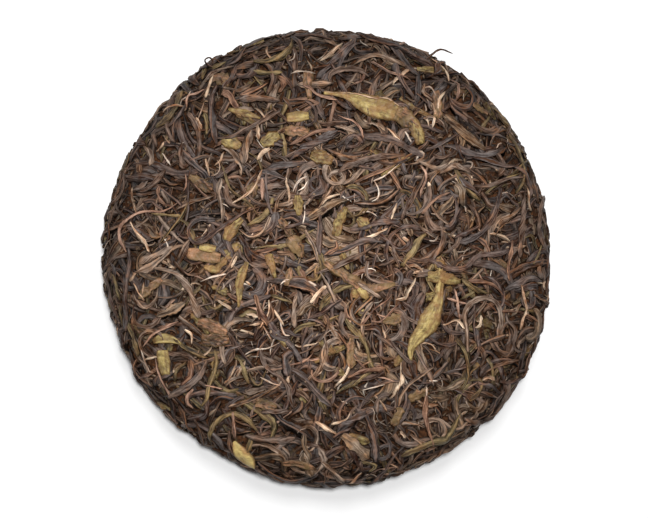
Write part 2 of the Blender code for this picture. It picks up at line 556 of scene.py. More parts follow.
def share_shown(bed, shape, side, spots, tops, slack):
    """The share of some places on a leaf that lie above the core and under no other leaf."""
    top = bed.look(side, spots)
    buried = bed.level_at(side, spots) - tops > shape.bed_depth
    return ((tops >= top - slack) & ~buried).mean()


COLUMNS = np.linspace(-1.0, 1.0, 7)  # places across an open leaf
PLEATS = np.array([0.3, 1.0, 0.0, 0.6, 0.2, 1.2, 0.4])  # how high its creases stand at those places


class OpenLeaves:
    """A batch of open leaves of one kind, as grids that drape over the bed."""

    def __init__(self, kind, path, half_width, tone, rng):
        number, rows = half_width.shape
        self.kind = kind
        self.path = path
        self.half_width = half_width
        self.tone = tone
        self.length = np.linalg.norm(np.diff(path, axis=1), axis=2).sum(axis=1)
        self.crumple = kind.crumple * eased(rng.normal(0.0, 1.6, (number, rows, len(COLUMNS))).T, 1).T
        fading = eased(rng.normal(0.8, 1.6, (number, rows, len(COLUMNS))).swapaxes(0, 1), 3).swapaxes(0, 1)
        self.pleats = rng.uniform(0.3, 1.0, (number, 1, 1)) * np.abs(fading) * rng.permutation(PLEATS)
        torn = 1.0 + rng.normal(0.0, kind.torn, (number, rows, 2))
        self.columns = np.where(COLUMNS < 0.0, torn[..., :1], torn[..., 1:]) * COLUMNS
        self.grain_start = rng.uniform(0.0, 10.0, number)
        self.side = (rng.random(number) < 0.5).astype(int)
        self.lift = np.zeros((number, rows, len(COLUMNS)))
        self.shown = np.ones(number)

    def turned(self, one, spot, heading):
        """The path of one leaf moved to a spot and turned to a heading."""
        cos, sin = math.cos(heading), math.sin(heading)
        return self.path[one] @ np.array([[cos, sin], [-sin, cos]]) + spot

    def places(self, one):
        """The places of one leaf's grid in the bed."""
        path = self.path[one]
        aside = self.half_width[one][:, None] * self.columns[one]
        return path[:, None, :] + across_of(path)[:, None, :] * aside[..., None]

    def lay(self, bed, one, path):
        """Drapes one leaf over the bed along a path."""
        self.path[one] = path
        spots = self.places(one)
        near = np.array([[0.0, 0.0], [0.7, 0.0], [-0.7, 0.0], [0.0, 0.7], [0.0, -0.7]]) * MM
        under = bed.look(self.side[one], spots[:, :, None, :] + near)
        rest = 0.6 * under.max(axis=2) + 0.4 * under.mean(axis=2)
        rest = eased(eased(rest, 4).T, 3).T
        self.lift[one] = rest + 0.30 * MM
        bed.stamp(self.side[one], *self.dense(one))

    def dense(self, one):
        """Many places on one leaf's upper side and their heights."""
        rows, columns = self.lift.shape[1:]
        down = upsampling(rows, max(rows, int(self.length[one] / STAMP_STEP)))
        over = upsampling(columns, 3 * columns)
        spots = np.einsum("ij,jkc,lk->ilc", down, self.places(one), over)
        return spots, down @ self.lift[one] @ over.T

    def see(self, bed, shape, slack):
        """Finds the share of each laid leaf that nothing else covers."""
        for one in range(len(self.tone)):
            self.shown[one] = share_shown(bed, shape, self.side[one], *self.dense(one), slack)

    def picked(self, wanted):
        """The wanted leaves as a batch of their own."""
        other = object.__new__(OpenLeaves)
        number = len(self.tone)
        for name, value in vars(self).items():
            if isinstance(value, np.ndarray) and len(value) == number:
                value = value[wanted]
            setattr(other, name, value)
        return other


def draw_open_leaves(kind, rng):
    """A batch of torn bits of open leaf."""
    number, rows = kind.number, 9
    at = np.linspace(-0.5, 0.5, rows)[None, :]

    def draw(low, high):
        return rng.uniform(low, high, (number, 1))

    lengths = kind.shortest + (kind.longest - kind.shortest) * rng.random((number, 1)) ** 1.5
    heading = draw(-1.0, 1.0) * 40.0 * at * lengths
    path = np.stack([np.cumsum(np.cos(heading), axis=1), np.cumsum(np.sin(heading), axis=1)], axis=-1)
    path *= (lengths / (rows - 1))[..., None]
    path -= path.mean(axis=1, keepdims=True)
    width = kind.narrowest + (kind.widest - kind.narrowest) * rng.random((number, 1)) ** 1.3
    tip = np.where(at < 0.0, draw(0.15, 0.9), draw(0.15, 0.9))
    taper = tip + (1.0 - tip) * (1.0 - np.abs(2.0 * at) ** draw(1.6, 6.0))
    half_width = 0.5 * width * taper * (1.0 + rng.normal(0.0, 0.18, (number, rows)))
    return OpenLeaves(kind, path, half_width, 0.6 * rng.random(number), rng)


def smooth_curve(points, places):
    """Evenly spaced places along a smooth curve through some points, and its length."""
    ends = np.concatenate([2.0 * points[:1] - points[1:2], points, 2.0 * points[-1:] - points[-2:-1]])
    part = np.linspace(0.0, 1.0, 12, endpoint=False)[:, None]
    curve = []
    for before, start, end, after in zip(ends, ends[1:], ends[2:], ends[3:]):
        curve.append(
            start
            + 0.5 * part * (end - before)
            + part**2 * (before - 2.5 * start + 2.0 * end - 0.5 * after)
            + part**3 * (1.5 * (start - end) + 0.5 * (after - before))
        )
    curve = np.concatenate([*curve, points[-1:]])
    travel = np.concatenate([[0.0], np.cumsum(np.linalg.norm(np.diff(curve, axis=0), axis=1))])
    even = np.linspace(0.0, travel[-1], places)
    curve = np.stack([np.interp(even, travel, part) for part in curve.T], axis=-1)
    return curve, travel[-1]


class View:
    """Where the camera stands, and which places on the cake it sees where."""

    def __init__(self, distance):
        lean, tip = math.radians(8.0), math.radians(1.0)
        self.middle = Vector((-3.7 * MM, -0.7 * MM, 0.5 * CROWN_HEIGHT))
        self.back = Vector((-math.sin(lean), -math.sin(tip), math.cos(lean))).normalized()
        self.right = Vector((0.0, 1.0, 0.0)).cross(self.back).normalized()
        self.up = self.back.cross(self.right)
        self.camera = self.middle + self.back * distance

    def seen_at(self, places, level):
        """The places at some levels that lie behind places on the plane through the cake's middle."""
        middle, right, up, camera = [np.array(part) for part in (self.middle, self.right, self.up, self.camera)]
        on_plane = middle + places[:, :1] * right + places[:, 1:] * up
        along = (camera[2] - level) / (camera[2] - on_plane[:, 2])
        return (camera + (on_plane - camera) * along[:, None])[:, :2]

    def seen_on_face(self, section, places):
        """The places on the cake's face that lie behind places on the plane through its middle."""
        on_face = places
        for _ in range(4):
            on_face = self.seen_at(places, section.height(np.hypot(on_face[:, 0], on_face[:, 1])))
        return on_face


def smooth_path(section, view, points, places):
    """A smooth curve on the face behind points of the view, in millimetres, moved to the bed."""
    curve, travel = smooth_curve(np.array(points) * NOTED_UNIT + NOTED_FROM, places)
    curve = view.seen_on_face(section, curve)
    radius = np.hypot(curve[:, 0], curve[:, 1])
    return curve * (section.reach(radius) / radius)[:, None], travel


SLIM = {"golden_buds": 0.80, "pale_wisps": 0.70}  # how much slimmer than they look these are, being twisted
NOTED_LIFT = 0.30 * MM  # of the leaves that stand out over what they cover, once pressed
NOTED_UNIT = 0.986 * MM
NOTED_FROM = np.array([1.3, 0.0]) * MM

# Leaves that stand out on the face: (kind, how light it is, width, places it passes through), in millimetres on the
# plane through the cake's middle that faces the camera.
NOTED_LEAVES = (
    ("charcoal_leaves", 0.5, 2.9, ((-85.4, 4.7), (-85, -1.3), (-86, -7), (-87, -13.4), (-87.5, -20), (-87.3, -31))),
    ("stalks", 0.7, 1.8, ((-86.3, 3), (-88.9, 8.2), (-89.3, 13.4), (-86.2, 16.8), (-81.5, 19.8), (-76, 20.7),
                          (-72, 20.3), (-67.7, 22), (-64.7, 24.2))),
    ("olive_strands", 0.8, 1.5, ((-76, 19.6), (-69, 19), (-62, 18.6))),
    ("golden_buds", 0.5, 2.6, ((-84.6, 16), (-82, 11.2), (-78.5, 6.9), (-76.4, 3))),
    ("charcoal_leaves", 0.5, 2.4, ((-28, 23), (-35.4, 20.3), (-41.8, 16), (-48.3, 11.6), (-52.6, 8.2), (-57, 6.9),
                                   (-59.6, 10.4), (-58.9, 14.7), (-54.8, 17.3), (-48.3, 16.8))),
    ("umber_leaves", 0.7, 3.4, ((-74.2, -3.9), (-69.9, -4.7), (-64.3, -6.9), (-60.8, -11.2), (-57.8, -17.7),
                                (-55.7, -25.5))),
    ("pale_wisps", 0.8, 1.6, ((-54.8, -9.9), (-49.6, -7.8), (-43.6, -6.5))),
    ("golden_buds", 0.9, 2.0, ((-41.4, -3.9), (-38.8, 1.3))),
    ("golden_buds", 0.7, 2.0, ((-47.5, -17.7), (-41.4, -21.6))),
    ("golden_buds", 0.6, 1.4, ((-83.3, -10.4), (-81.4, -14.5), (-79, -18.1))),
    ("golden_buds", 0.5, 1.3, ((-79, -10), (-79.8, -15.5))),
    ("umber_leaves", 0.5, 2.0, ((-84, -13.4), (-82.8, -17.7), (-78.5, -21.1), (-74.2, -17.7), (-72.9, -12.5))),
    ("umber_leaves", 0.6, 3.2, ((60.4, -40), (60, -30.6), (59.5, -24), (61.7, -19.8), (66, -17.3), (70.3, -17.3),
                                (73.8, -19.8), (75, -25.5), (74.6, -30.6))),
    ("charcoal_leaves", 0.6, 2.6, ((63.8, -22), (63.4, -28.5), (64.7, -34), (65.1, -39.3), (62.6, -44.4),
                                   (57.4, -47), (50.9, -48.7))),
    ("charcoal_leaves", 0.5, 2.9, ((38, -1.3), (44.4, -0.4), (51.8, -3.9), (59.5, -3.9), (66, 1.3), (74.6, 2.2),
                                   (79.4, 3.9))),
    ("chestnut_leaves", 0.7, 2.3, ((81.1, 8.2), (80.2, 1.7), (79, -4.7), (79.4, -9.5))),
    ("broad_leaves", 0.8, 3.6, ((77.5, -13.4), (83.3, -10.8), (88.4, -8.2), (94, -9.9))),
    ("golden_buds", 0.3, 2.2, ((84.6, -11.2), (85.4, -17.7), (86.3, -22), (84.6, -26.3), (83.3, -30.6))),
    ("dark_leaves", 0.4, 2.6, ((20, -32), (28, -37.1), (33.6, -42.7), (36.7, -44.9))),
    ("stalks", 0.8, 1.6, ((51.8, -16.8), (57.4, -18.6), (60.8, -19.4))),
    ("golden_buds", 0.5, 1.2, ((-1.7, 72.2), (7.8, 71.8), (14.2, 70.8), (20.0, 69.4), (26.0, 69.2), (30.0, 66.6),
                               (33.4, 64.4))),
    ("charcoal_leaves", 0.4, 3.8, ((-47, 75), (-49.6, 68.6), (-49.6, 60), (-48.7, 53.5), (-47.5, 49.2))),
    ("golden_buds", 0.7, 2.3, ((-48.7, 79.4), (-50.5, 75), (-52.2, 69.5))),
    ("pale_wisps", 0.2, 1.2, ((-52.2, 70), (-54, 64), (-56.5, 59))),
    ("stalks", 0.9, 1.6, ((-60.8, 65), (-60, 70), (-57, 71), (-52.6, 73))),
    ("dark_leaves", 0.4, 2.4, ((-20.3, 63.4), (-28, 59), (-35.4, 55.6), (-41.8, 52.6), (-47.9, 52.2))),
    ("chestnut_leaves", 0.9, 2.8, ((-37, 70.3), (-32.4, 72), (-28, 73.8), (-25.5, 75.5))),
    ("olive_strands", 0.4, 3.3, ((-31.5, 84.6), (-26.7, 84.6), (-20.3, 87.1), (-16, 91), (-15, 95.3))),
    ("charcoal_leaves", 0.5, 4.2, ((-16, 42.7), (-9.5, 47.9), (-3, 51.3), (4.7, 55.6))),
    ("chestnut_leaves", 0.7, 2.0, ((-16, 49.2), (-9.5, 52.6), (-3.9, 55.2), (3.5, 56))),
    ("umber_leaves", 0.5, 4.4, ((-36.4, 41), (-34.5, 49.2), (-32.4, 55.6))),
    ("golden_buds", 0.2, 2.6, ((-29.8, 57.8), (-29.3, 51.3))),
    ("golden_buds", 0.8, 2.6, ((-30, 42.7), (-27.5, 46), (-24.5, 47.5))),
    ("golden_buds", 0.6, 2.0, ((-52.6, 43.5), (-50.9, 36))),
    ("pale_wisps", 0.5, 1.4, ((-14.7, 28.5), (-13.6, 31.5), (-11.5, 34), (-8.6, 35.5))),
    ("pale_wisps", 0.6, 1.4, ((-12.5, 29.3), (-10.2, 30.6), (-8.4, 33.5))),
    ("pale_wisps", 0.7, 1.2, ((-9.5, 23.3), (-9.7, 19), (-10.6, 15))),
    ("charcoal_leaves", 0.8, 3.0, ((-3, 19), (-3.5, 8), (-3, 1.7))),
    ("umber_leaves", 0.9, 2.0, ((-9.5, 12.5), (-6, 6), (-3.9, -1.3))),
    ("golden_buds", 0.2, 1.9, ((-28, 38.4), (-32.4, 29.8), (-41, 24.2))),
    ("stalks", 1.0, 2.1, ((-28, 25.5), (-28, 32), (-28, 35))),
    ("umber_leaves", 0.9, 2.2, ((-37.5, 12.5), (-33.2, 9.5), (-28, 11.6), (-24.6, 18.1))),
    ("golden_buds", 0.7, 1.9, ((13.5, 8.6), (18.6, 9.5), (22.9, 11.6), (26.3, 13.4))),
    ("charcoal_leaves", 0.5, 3.3, ((10, 12.5), (16.4, 13.4), (22.9, 16), (31.5, 16))),
    ("pale_wisps", 0.6, 1.5, ((20.3, 34), (22.4, 29.8), (22, 26.3), (19, 24.6))),
    ("golden_buds", 0.6, 1.7, ((30.2, 24.2), (27.6, 16.8))),
    ("chestnut_leaves", 0.8, 1.9, ((12, 33), (18.6, 36), (25, 38.4), (30.6, 41.4))),
    ("pale_wisps", 0.9, 1.8, ((-20.3, -11.2), (-18.5, -9.5), (-15.5, -8.6))),
    ("golden_buds", 0.9, 2.5, ((-7.3, -19), (-3.9, -14.7), (-0.4, -11.6))),
    ("umber_leaves", 1.0, 1.9, ((-3, -5.6), (0.4, -11.2), (3.9, -19))),
    ("pale_wisps", 0.9, 1.6, ((-8.2, -9.5), (-4.7, -11.6))),
    ("charcoal_leaves", 0.8, 3.0, ((1.3, 1.7), (7.8, 3.9), (16.4, 8.2), (24, 7.2))),
    ("golden_buds", 0.5, 1.7, ((-2.2, 23.3), (0.4, 26.3), (5.6, 28))),
    ("dark_leaves", 0.7, 3.0, ((-69.5, -60.8), (-64.3, -57.8), (-59, -54.4), (-54.8, -50), (-52.2, -44.4))),
    ("olive_strands", 0.8, 2.6, ((-48.7, -39.3), (-47.9, -44.4), (-49.2, -50), (-51.3, -55.6), (-52.2, -60.8),
                                 (-54.4, -63.8))),
    ("stalks", 0.8, 1.7, ((-53, -54.8), (-49.2, -55.6), (-45.3, -56.5))),
    ("stalks", 0.9, 1.8, ((-58.2, -56.5), (-60.8, -60), (-60.4, -63), (-58.2, -65))),
    ("olive_strands", 0.5, 3.0, ((-50.5, -81.5), (-50.9, -76), (-48.7, -71.6), (-44.4, -68.2), (-39.7, -67.3),
                                 (-34.5, -69.9), (-30.2, -74.6))),
    ("dark_leaves", 0.6, 3.4, ((-35.4, -76.4), (-29, -78), (-20.3, -78.5), (-13.8, -77.2))),
    ("stalks", 0.6, 1.8, ((-41, -66.4), (-40.6, -71.6), (-40.1, -79))),
    ("pale_wisps", 0.2, 1.3, ((-80.7, -39.3), (-79.4, -44.4), (-77.7, -48.7), (-75.5, -49.2))),
    ("stalks", 0.6, 1.7, ((-80.2, -38.4), (-75.5, -32.8), (-69.9, -29.8), (-64.3, -27.2))),
    ("golden_buds", 0.8, 2.0, ((-61.7, -30.6), (-59, -32.8), (-58.7, -37))),
    ("pale_wisps", 0.4, 1.5, ((-35.4, -41.4), (-31, -39.3), (-25.5, -38.8), (-20.3, -36.2))),
    ("pale_wisps", 0.4, 1.4, ((-29, -51.3), (-23.7, -53.9), (-20.3, -54.8))),
    ("dark_leaves", 0.5, 3.5, ((-37.5, 68.6), (-28.9, 69.2), (-20.3, 68))),
    ("dark_leaves", 0.4, 3.0, ((11.5, 24.2), (20.7, 23.7), (26.7, 26.1), (31.5, 30.4))),
    ("dark_leaves", 0.5, 2.6, ((-28.5, -66.4), (-16.4, -66))),
    ("charcoal_leaves", 0.9, 1.7, ((-26.3, 38), (-26.3, 30.2), (-25.5, 24.2), (-23.7, 19.4))),
    ("chestnut_leaves", 0.8, 3.5, ((-44.9, 71.6), (-41.8, 69.9), (-40.1, 67.3), (-38.1, 64.9))),
    ("stalks", 0.8, 1.6, ((-10.4, 75.1), (-6.9, 73.5), (-4.3, 71.2), (4.3, 68.6))),
    ("chestnut_leaves", 0.8, 1.8, ((3.9, 7.8), (3.9, 4.5), (-1.5, 1.7))),
    ("umber_leaves", 0.7, 2.2, ((13.4, -10.4), (23.7, -17.1))),
    ("pale_wisps", 0.6, 1.4, ((-15.5, 79.8), (-11.2, 81.1), (-4.7, 80.2))),
    ("pale_wisps", 0.5, 1.4, ((31.1, 41), (25, 35.9), (20.1, 33.6))),
    ("golden_buds", 0.3, 1.8, ((-33.8, -28.8), (-28.9, -28))),
    ("pale_wisps", 0.5, 1.6, ((-20.3, -26.3), (-18.6, -32.4), (-16, -33.2))),
    ("golden_buds", 0.9, 1.8, ((-22.9, -22), (-18.6, -28.9))),
    ("golden_buds", 0.6, 2.0, ((-35, -9.5), (-33, -11.2))),
    ("stalks", 0.7, 1.7, ((-34.5, -20.7), (-30, -22), (-29.3, -26.3))),
    ("chestnut_leaves", 0.6, 3.0, ((-31.5, -15.5), (-26, -29))),
    ("brown_blades", 0.8, 5.4, ((-73.8, -25), (-67, -22.5), (-61.3, -19))),
    ("chestnut_leaves", 0.6, 3.0, ((9, -51), (16, -48), (25, -47))),
    ("charcoal_leaves", 0.6, 4.6, ((3, -77), (10, -70), (17, -66))),
    ("charcoal_leaves", 0.5, 4.4, ((17, -67), (20, -76), (21, -87))),
    ("golden_buds", 0.2, 3.4, ((-5, -70), (4, -75))),
    ("golden_buds", 0.8, 1.9, ((2, -71), (8, -69), (10, -66))),
    ("brown_blades", 0.7, 5.6, ((6.5, -75.5), (12, -80), (18, -85.5))),
    ("umber_leaves", 0.7, 3.0, ((-2, -87), (7, -95))),
    ("olive_strands", 0.7, 4.0, ((57.5, -66), (52, -77), (45, -79), (38, -82), (32, -85))),
    ("chestnut_leaves", 0.6, 2.8, ((43, -58), (42.5, -68), (46, -81))),
    ("pale_wisps", 0.8, 1.5, ((43, -55), (43, -59))),
    ("pale_wisps", 1.0, 1.3, ((44, -52.5), (48, -52.5))),
    ("pale_wisps", 0.5, 1.0, ((15, -56.5), (25, -54))),
    ("golden_buds", 0.5, 2.0, ((31.5, -74), (34, -77))),
    ("olive_strands", 0.9, 1.9, ((15, -87), (21, -89), (18, -91.5))),
    ("golden_buds", 0.1, 2.4, ((9.5, -96), (15, -92))),
)

# Open leaves that stand out: (kind, how light it is, widths along it, places it passes through), in millimetres.
NOTED_OPEN_LEAVES = (
    ("olive_blades", 0.86, (1.5, 1.6, 2.4, 5.0, 7.6, 9.2, 9.6, 8.6, 5.0),
     ((-1.3, 71.8), (7.8, 70.6), (14.2, 68.0), (20.0, 65.6), (26.0, 64.2), (31.5, 61.8))),
    ("russet_blades", 0.06, (6.0, 7.8, 7.4, 5.6, 3.0), ((29.5, 63.0), (34.0, 60.6), (39.6, 57.2))),
    ("olive_blades", 0.42, (4.0, 5.6, 5.2, 3.6), ((36.6, 59.4), (39.0, 55.0), (40.6, 49.6))),
    ("olive_blades", 0.84, (1.2, 3.4, 3.6, 3.8, 5.6, 8.8, 9.0, 6.4, 5.2, 3.0, 1.0),
     ((49.2, -3), (49.2, -6.9), (48.7, -13.4), (47.5, -18.6), (44.4, -25.5), (42.3, -29.8), (38, -35), (36, -39.3),
      (36.2, -43.6))),
    ("olive_blades", 0.57, (4.0, 5.2, 5.0, 4.2, 2.0), ((43.5, -7.5), (50, -8.2), (58, -9.8))),
    ("russet_blades", 1.25, (4.4, 5.2, 5.2, 5.0, 4.0), ((-60, 2.6), (-53, 1.5), (-46, 0.4))),
    ("olive_blades", 1.10, (2.0, 4.0, 3.2), ((-55, 5.0), (-51, 4.6), (-48, 4.0))),
    ("olive_blades", 1.10, (1.5, 3.6, 2.0), ((-53, -3.4), (-49.5, -4.4), (-46, -5.0))),
    ("olive_blades", 0.42, (3.0, 5.2, 4.2, 2.6), ((-43.2, 8.0), (-41.2, 13.0), (-37.0, 17.6))),
    ("olive_blades", 0.45, (1.5, 3.4, 3.6, 2.4, 1.0), ((-34.5, -1.3), (-37.5, -9), (-38, -17.7), (-38.4, -21))),
    ("olive_blades", 1.20, (3.4, 4.6, 4.4, 3.0), ((-17.2, 60.8), (-12.5, 61.3), (-7.8, 61.8))),
    ("russet_blades", 0.37, (3.0, 5.0, 4.6, 2.6), ((-18, 55.4), (-13, 55.0), (-7.6, 54.6))),
    ("olive_blades", 0.49, (1.0, 3.0, 3.4, 2.0, 0.8), ((-42.4, 64.5), (-35, 62.5), (-28.5, 60.4))),
    ("olive_blades", 0.49, (3.5, 6.0, 5.0, 3.0), ((-45.4, 51.6), (-41.4, 50.5), (-37.2, 48.6))),
    ("olive_blades", 0.42, (3.0, 5.6, 6.0, 3.0), ((-28, 49.2), (-24.5, 51.5), (-20.5, 53.2))),
    ("olive_blades", 0.36, (2.6, 4.2, 4.0, 1.4), ((-12.8, 27.4), (-12.5, 23.3), (-12.0, 18.8))),
    ("olive_blades", 0.45, (3.6, 4.0, 2.6, 1.0), ((-24.8, 2.0), (-24, -2.6), (-22.4, -8.2))),
    ("russet_blades", 0.00, (3.0, 6.4, 6.6, 4.4, 1.6), ((-16.5, 9.6), (-13, 5), (-10.6, 0.6))),
    ("olive_blades", 0.16, (2.0, 4.0, 4.4, 3.0), ((8.2, 22.4), (5, 15), (3.5, 10.0))),
    ("olive_blades", 0.41, (3.0, 5.0, 3.0), ((13.2, 17.4), (15.8, 15.5), (18.4, 13.0))),
    ("russet_blades", 0.32, (2.6, 4.4, 4.6, 4.0, 1.6), ((-0.9, -1.3), (5.6, -5.6), (12, -9.9), (18.6, -13.0),
                                                        (29.3, -10.8))),
    ("olive_blades", 1.10, (2.0, 3.6, 2.0), ((13.4, -12.8), (15.5, -14.7), (17.6, -17.0))),
    ("olive_blades", 1.20, (1.6, 4.0, 4.2, 3.0, 1.0), ((-75.5, -36), (-71.2, -34.4), (-66, -35.4), (-63.4, -37))),
    ("olive_blades", 0.95, (4.4, 5.4, 5.2, 4.0), ((-71.4, -39.6), (-71, -45), (-70, -50.4))),
    ("russet_blades", 0.46, (3.0, 5.6, 5.4, 2.4), ((-56, -27.6), (-50.5, -29), (-43.4, -32))),
    ("russet_blades", 0.00, (4.6, 5.2, 5.0, 3.4), ((-54.5, -34.6), (-48.5, -35.2), (-42.5, -34.4))),
    ("olive_blades", 2.00, (1.4, 4.8, 7.0, 7.2, 3.4), ((-40.4, -79.5), (-38.6, -83), (-35.6, -87), (-32.4, -90.6))),
    ("russet_blades", 0.14, (4.0, 5.0, 3.4), ((-31, -62.8), (-26.5, -63.6), (-22, -65))),
    ("olive_blades", 0.08, (3.6, 6.0, 5.4, 3.0), ((-7, 45), (-2.5, 43.7), (2.4, 42.4))),
    ("russet_blades", 0.45, (4.4, 4.0, 2.4, 1.8), ((-8, 80.5), (-8.3, 76), (-7.5, 69))),
)


def scaled_leaf(kind, width, path, travel, tone, rng):
    """A batch of one twisted leaf along a path."""
    leaf = Leaves(kind, np.array([travel]), len(path), rng)
    ratio = 0.5 * width * MM / leaf.half_width.max()
    leaf.half_width *= ratio
    leaf.half_height *= ratio
    leaf.grain_radius *= ratio
    leaf.path[0] = path
    leaf.tone[0] = tone
    leaf.side[0] = FACE
    return leaf


STANDS_OUT = 0.8  # tone above which an open leaf lies clear and whole on top of the others
WHOLE_TORN = 0.4  # how torn such a leaf is, next to the others


def noted_batches(section, view, chosen, rng):
    """Batches of one leaf each, for the leaves that stand out on the face."""
    batches = []
    for name, tone, widths, points in NOTED_OPEN_LEAVES:
        _, travel = smooth_path(section, view, points, 2)
        rows = max(9, int(travel / (1.2 * MM)))
        path, travel = smooth_path(section, view, points, rows)
        at = np.linspace(0.0, 1.0, rows)
        half_width = 0.5 * MM * np.interp(at, np.linspace(0.0, 1.0, len(widths)), widths)
        leaf = OpenLeaves(chosen[name], path[None], half_width[None], np.array([tone]), rng)
        leaf.side[0] = FACE
        leaf.guarded = 0.2
        if tone > STANDS_OUT:
            leaf.guarded = 1.0
            leaf.columns = COLUMNS + WHOLE_TORN * (leaf.columns - COLUMNS)
        batches.append((name, leaf))
    for name, tone, width, points in NOTED_LEAVES:
        _, travel = smooth_path(section, view, points, 2)
        rings = 2 * int(travel / (3.0 * MM)) + 5
        path, travel = smooth_path(section, view, points, rings)
        slim = SLIM.get(name, 1.0)
        leaf = scaled_leaf(chosen[name], slim * width, path, travel, tone, rng)
        leaf.raised[0] = NOTED_LIFT
        leaf.guarded = 1.0
        batches.append((name, leaf))
    return batches


def draw_leaves(kind, rng):
    """Batches of the leaves of one kind, the longer ones with more cross-sections."""
    lengths = kind.shortest + (kind.longest - kind.shortest) * rng.random(kind.number) ** 1.4
    batches = []
    shorter = 0.0
    for longer, rings in RINGS_BY_LENGTH:
        these = lengths[(lengths >= shorter) & (lengths < longer)]
        if len(these):
            batches.append(Leaves(kind, these, rings, rng))
        shorter = longer
    return batches


NOTED_AFTER = 0.90  # share of the leaves laid before the ones that stand out


def lay_all(batches, noted, bed, rng, reach_limit):
    """Lays every leaf of the batches, in a mixed order, each in the lowest of a few places."""
    order = [(batch, one) for batch in batches for one in range(len(batch.tone))]
    late = np.array([batch.kind.late for batch, _ in order])
    order = [order[place] for place in np.argsort(rng.random(len(order)) ** (1.0 / (1.0 + 2.0 * late)))]
    last = int(NOTED_AFTER * len(order))
    swirl = Waves(rng, 38.0 * MM, 95.0 * MM, 6)
    reach = reach_limit * np.sqrt(rng.random((len(order), TRIES)))
    bearing = rng.uniform(0.0, FULL_TURN, (len(order), TRIES))
    spots = np.stack([reach * np.cos(bearing), reach * np.sin(bearing)], axis=-1)
    headings = 1.3 * swirl.at(spots) + rng.normal(0.0, 1.0, (len(order), TRIES))
    along_rim = bearing + 0.5 * math.pi + rng.normal(0.0, 0.45, (len(order), TRIES))
    at_rim = rng.random((len(order), TRIES)) < 0.60 * np.clip((reach - 84.0 * MM) / (12.0 * MM), 0.0, 1.0)
    headings = np.where(at_rim, along_rim, headings)
    for done, ((batch, one), places, turns) in enumerate(zip(order, spots, headings)):
        if done == last:
            for leaf in noted:
                leaf.lay(bed, 0, leaf.path[0])
                bed.guard(leaf.dense(0)[0][:, ::2], leaf.guarded)
        paths = [batch.turned(one, place, turn) for place, turn in zip(places, turns)]
        heights = [bed.cost(batch.side[one], path) for path in paths]
        batch.lay(bed, one, paths[int(np.argmin(heights))])


# --- Meshes -------------------------------------------------------------------------------------------------------


OPEN_LEAF_LIFT = 0.12 * MM  # of pressed open leaves over the leaves that they cover
RIM_FROM = 78.0 * MM  # reach where the rim's loose leaves and its painted shade begin
MIDDLE_REACH = 60.0 * MM  # reach of the painted light round the crown

def pressed(bed, shape, side, points):
    """Brings the laid leaf down to the cake's surface, flattening what stands above it."""
    reach = np.hypot(points[..., 0], points[..., 1])
    edge = np.clip((reach - 30.0 * MM) / (60.0 * MM), 0.0, 1.0)
    soft = shape.press_middle + (shape.press_edge - shape.press_middle) * edge
    above = points[..., 2] - bed.level_at(side, points[..., :2]) - 1.2 * soft
    loose = shape.rim_loose * np.clip((reach - RIM_FROM) / (8.0 * MM), 0.0, 1.0)
    out = points.copy()
    out[..., 2] = loose * soft * np.logaddexp(0.0, above / soft) - soft * np.logaddexp(0.0, -above / soft)
    return out


def painted_light_and_shade(points):
    """How much lighter or darker than usual pressed leaf is: lighter in the rubbed middle, darker at the rim and
    darker where it lies deep between other leaves."""
    reach = np.hypot(points[..., 0], points[..., 1])
    middle = np.clip(1.0 - reach / MIDDLE_REACH, 0.0, 1.0)
    rim = np.clip((reach - RIM_FROM) / (16.0 * MM), 0.0, 1.0)
    deep = np.clip((-points[..., 2] - 0.3 * MM) / (1.3 * MM), 0.0, 1.0)
    # painted light in the middle, painted shade at the rim and deep between the leaves
    return (1.0 + 0.24 * middle - 0.36 * rim) * (1.0 - 0.72 * deep)


def mesh_object(name, points, corners, sizes, values):
    """A mesh object from arrays of points, of the corners of its faces and of the number of corners of each face."""
    mesh = bpy.data.meshes.new(name)
    mesh.vertices.add(len(points))
    mesh.vertices.foreach_set("co", points.astype(np.float32).ravel())
    mesh.loops.add(len(corners))
    mesh.loops.foreach_set("vertex_index", corners.astype(np.int32))
    mesh.polygons.add(len(sizes))
    mesh.polygons.foreach_set("loop_start", (np.cumsum(sizes) - sizes).astype(np.int32))
    for label, value in values.items():
        kind, slot = ("FLOAT_VECTOR", "vector") if value.ndim == 2 else ("FLOAT", "value")
        layer = mesh.attributes.new(label, kind, "POINT")
        layer.data.foreach_set(slot, value.astype(np.float32).ravel())
    mesh.update(calc_edges=True)
    mesh.validate()
    mesh.shade_smooth()
    piece = bpy.data.objects.new(name, mesh)
    bpy.context.scene.collection.objects.link(piece)
    mesh.calc_loop_triangles()
    print("piece", name, "triangles", len(mesh.loop_triangles))
    return piece


def tube_faces(number, rings, sides):
    """Corners and sizes of the faces of many closed tubes, whose points run round and then along."""
    ring = np.arange(rings - 1)[:, None]
    spoke = np.arange(sides)[None, :]
    after = (spoke + 1) % sides
    quads = np.stack(
        [ring * sides + spoke, ring * sides + after, (ring + 1) * sides + after, (ring + 1) * sides + spoke],
        axis=-1,
    ).reshape(-1, 4)
    start_cap = np.arange(sides)[::-1]
    end_cap = np.arange(sides) + (rings - 1) * sides
    one = np.concatenate([quads.ravel(), start_cap, end_cap])
    sizes = np.concatenate([np.full(len(quads), 4), [sides, sides]])
    corners = (np.arange(number)[:, None] * rings * sides + one[None, :]).ravel()
    return corners, np.tile(sizes, number)


FOLD_SIZES = np.array([-1.0, 0.35, 0.0])  # of the three points of one fold: its valley, its ridge, its back
SHADED_UNDERSIDE = 0.32  # how light the painted shade leaves the underside of a leaf beside its upper side
